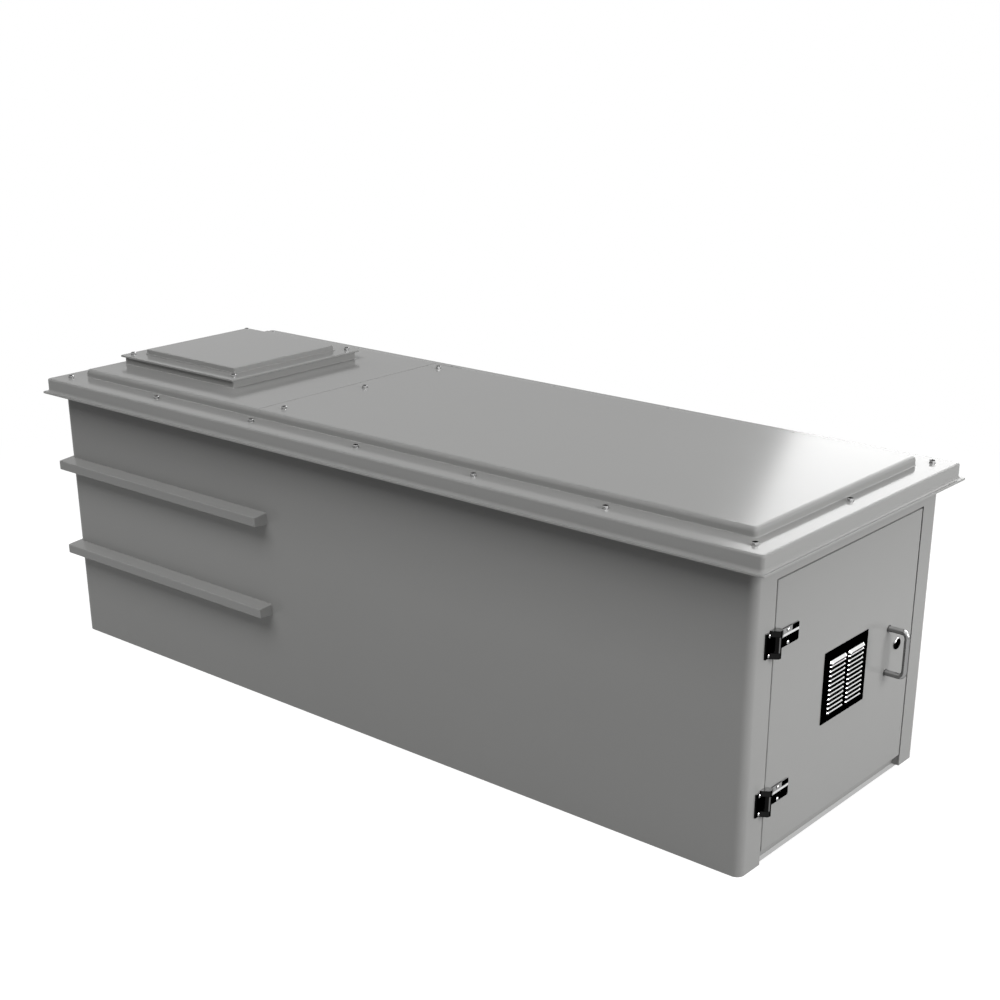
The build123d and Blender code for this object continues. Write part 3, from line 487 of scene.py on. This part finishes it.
# Backdrop: white to the camera and in reflections, a dimmer grey as light.
world = bpy.data.worlds.new("studio")
world.use_nodes = True
scene.world = world
tree = world.node_tree
tree.nodes.clear()
backdrop = add_node(tree, "ShaderNodeBackground", Color=(*grey(1.0), 1.0), Strength=1.0)
ambient = add_node(tree, "ShaderNodeBackground", Color=(*grey(1.0), 1.0), Strength=0.15)
finish_with(tree, "ShaderNodeOutputWorld", seen_rays(tree), ambient, backdrop)


# Lamps: a far softbox behind the cabinet whose left edge shows in the roof, a softbox facing the
# door, a high soft light in front, and fills for the two sides that the photograph doesn't show.
def softbox(name, azimuth, elevation, distance, width, height, radiance, target, roll=0.0, rays="both"):
    """Area lamp facing a point, placed by its direction from there (azimuth from +Y towards +X)."""
    data = bpy.data.lights.new(name, "AREA")
    data.shape = "RECTANGLE"
    data.size = width
    data.size_y = height
    data.energy = radiance * math.pi * width * height
    lamp = bpy.data.objects.new(name, data)
    turn, lift = math.radians(azimuth), math.radians(elevation)
    away = Vector((math.sin(turn) * math.cos(lift), math.cos(turn) * math.cos(lift), math.sin(lift)))
    lamp.location = Vector(target) + distance * away
    spin = Quaternion((0, 0, 1), math.radians(roll))
    lamp.rotation_euler = (away.to_track_quat("Z", "Y") @ spin).to_euler()
    lamp.visible_camera = False
    lamp.visible_diffuse = rays != "glossy"
    lamp.visible_glossy = rays != "diffuse"
    scene.collection.objects.link(lamp)


middle = (0, 0, 0.4)
roof_right = (0.9, 0, 0.79)
door_middle = (1.16, 0, 0.3)
closed_end = (-1.16, 0, 0.4)
softbox("back_softbox", -8.6, 26.0, 14.0, 11.6, 9.4, 5.3, roof_right, roll=-12.0, rays="glossy")
softbox("door_softbox", 85.0, 28.0, 4.0, 3.0, 2.4, 6.2, door_middle)
softbox("front_high", 185.0, 55.0, 6.0, 5.0, 3.0, 4.1, middle, rays="diffuse")
softbox("rear_fill", 15.0, 12.0, 7.0, 4.0, 3.0, 4.0, middle, rays="diffuse")
softbox("end_fill", 275.0, 12.0, 5.0, 3.0, 3.0, 4.0, closed_end, rays="diffuse")

# Camera: fitted to the cabinet's straight edges in the photograph.
# The picture is a shifted crop, so the lens is shifted up instead of tilted.
camera_place = (2.82792, -3.15622, 1.86841)
right = Vector((0.76130832, 0.64837791, -0.0039645))
back = Vector((0.59882781, -0.70075703, 0.38774326))
up = back.cross(right)
camera_data = bpy.data.cameras.new("camera")
camera_data.sensor_width = 36
camera_data.lens = 60.11
camera_data.shift_y = 0.1569
camera = bpy.data.objects.new("camera", camera_data)
camera.matrix_world = Matrix.Translation(camera_place) @ Matrix((right, up, back)).transposed().to_4x4()
scene.collection.objects.link(camera)
scene.camera = camera
